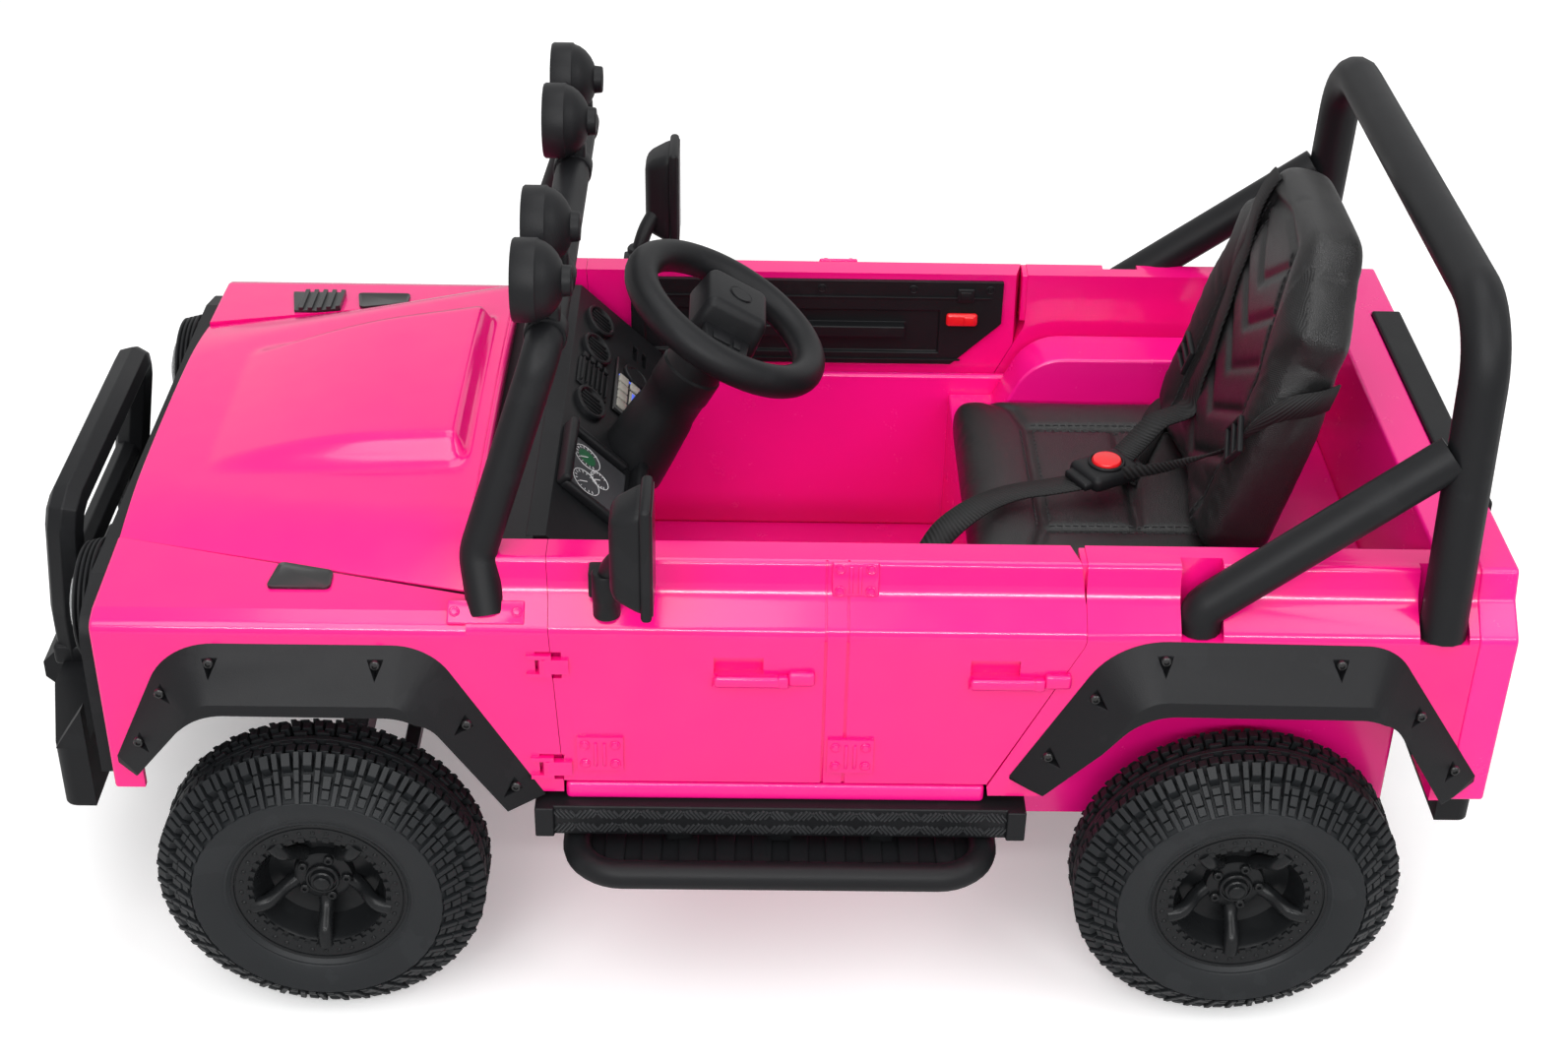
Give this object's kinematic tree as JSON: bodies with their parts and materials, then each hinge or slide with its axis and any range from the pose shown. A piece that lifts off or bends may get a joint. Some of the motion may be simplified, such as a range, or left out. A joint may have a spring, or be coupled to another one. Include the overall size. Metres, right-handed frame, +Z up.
{
  "type": "child's electric ride-on off-road car",
  "caption": "Boxy open-top ride-on toy off-roader with opening doors, steered front wheels, wheel arch flares, bull bar, roll hoop, roof lamps, side steps and a padded seat.",
  "frame": {"origin": "centre of the overall box, on the floor under the tyres", "axes": "+X forward, +Y to the driver's left, +Z up"},
  "size_m": [1.273, 0.714, 0.6894],
  "materials": {
    "pink_plastic": "glossy moulded",
    "black_plastic": "satin grained",
    "rim_plastic": "satin",
    "tyre": "matt",
    "lamp_lens": "clear moulded",
    "rear_lens": "dark glossy",
    "red_plastic": "glossy moulded",
    "panel_plastic": "satin",
    "webbing": "woven webbing",
    "seat_leather": "stitched artificial leather",
    "axle_steel": "plain"
  },
  "bodies": {
    "chassis": {"battery": "black_plastic", "bonnet": "pink_plastic", "bull_bar": "black_plastic", "dashboard": "black_plastic", "firewall": "pink_plastic", "floor_pan": "pink_plastic", "front_axle": "axle_steel", "front_bumper": "black_plastic", "front_flares": "black_plastic", "front_frame": "black_plastic", "front_panel": "black_plastic", "gauge_panel": "black_plastic", "gearboxes": "black_plastic", "harness": "webbing", "headlamps": "lamp_lens", "hoop_braces": "black_plastic", "pedal": "black_plastic", "quarter_left": "pink_plastic", "quarter_right": "pink_plastic", "radio_panel": "panel_plastic", "rear_axle": "axle_steel", "rear_bumper": "black_plastic", "rear_flares": "black_plastic", "rear_lamps": "rear_lens", "rear_panel": "pink_plastic", "roll_hoop": "black_plastic", "roof_lamps": "black_plastic", "seat_back": "seat_leather", "seat_cushion": "seat_leather", "seat_platform": "pink_plastic", "sills": "black_plastic", "steering_column": "black_plastic", "step_left": "black_plastic", "step_right": "black_plastic", "tailgate": "black_plastic", "tub_walls": "pink_plastic", "windscreen_frame": "black_plastic", "wing_left": "pink_plastic", "wing_right": "pink_plastic", "wing_vents": "black_plastic"},
    "door_left": {"door_left": "pink_plastic", "door_card_left": "black_plastic", "mirror_left": "black_plastic", "door_lever_left": "red_plastic"},
    "door_right": {"door_right": "pink_plastic", "door_card_right": "black_plastic", "mirror_right": "black_plastic", "door_lever_right": "red_plastic"},
    "knuckle_left": {"knuckle_left": "axle_steel"},
    "knuckle_right": {"knuckle_right": "axle_steel"},
    "tie_rod": {"tie_rod": "axle_steel"},
    "steering_wheel": {"steering_wheel": "black_plastic"},
    "wheel_front_left": {"tyre_front_left": "tyre", "rim_front_left": "rim_plastic"},
    "wheel_front_right": {"tyre_front_right": "tyre", "rim_front_right": "rim_plastic"},
    "wheel_rear_left": {"tyre_rear_left": "tyre", "rim_rear_left": "rim_plastic"},
    "wheel_rear_right": {"tyre_rear_right": "tyre", "rim_rear_right": "rim_plastic"}
  },
  "joints": [
    {"name": "steer_left", "type": "hinge", "parent": "chassis", "child": "knuckle_left", "pos_m": [0.3585, 0.206, 0.14], "axis": [0, 0, 1], "range_deg": [-22, 22]},
    {"name": "steer_right", "type": "hinge", "parent": "chassis", "child": "knuckle_right", "pos_m": [0.3585, -0.206, 0.14], "axis": [0, 0, 1], "range_deg": [-22, 22]},
    {"name": "tie_rod_slide", "type": "slide", "parent": "chassis", "child": "tie_rod", "axis": [0, -1, 0], "range_m": [-0.019, 0.019]},
    {"name": "steering_wheel_turn", "type": "hinge", "parent": "chassis", "child": "steering_wheel", "pos_m": [0.0215, 0, 0.52], "axis": [-0.5, 0, 0.866], "range_deg": [-40, 40]},
    {"name": "wheel_front_left_spin", "type": "hinge", "parent": "knuckle_left", "child": "wheel_front_left", "pos_m": [0.3585, 0.29, 0.14], "axis": [0, 1, 0], "continuous": true},
    {"name": "wheel_front_right_spin", "type": "hinge", "parent": "knuckle_right", "child": "wheel_front_right", "pos_m": [0.3585, -0.29, 0.14], "axis": [0, 1, 0], "continuous": true},
    {"name": "wheel_rear_left_spin", "type": "hinge", "parent": "chassis", "child": "wheel_rear_left", "pos_m": [-0.4215, 0.29, 0.14], "axis": [0, 1, 0], "continuous": true},
    {"name": "wheel_rear_right_spin", "type": "hinge", "parent": "chassis", "child": "wheel_rear_right", "pos_m": [-0.4215, -0.29, 0.14], "axis": [0, 1, 0], "continuous": true},
    {"name": "door_left_hinge", "type": "hinge", "parent": "chassis", "child": "door_left", "pos_m": [0.163, 0.301, 0.338], "axis": [0, 0, -1], "range_deg": [0, 60]},
    {"name": "door_right_hinge", "type": "hinge", "parent": "chassis", "child": "door_right", "pos_m": [0.163, -0.301, 0.338], "axis": [0, 0, 1], "range_deg": [0, 60]}
  ],
  "couplings": [
    {"joint": "steer_right", "follows": "steer_left", "ratio": 1},
    {"joint": "tie_rod_slide", "follows": "steer_left", "m_per_rad": 0.04878},
    {"joint": "steering_wheel_turn", "follows": "steer_left", "ratio": 1.8}
  ]
}
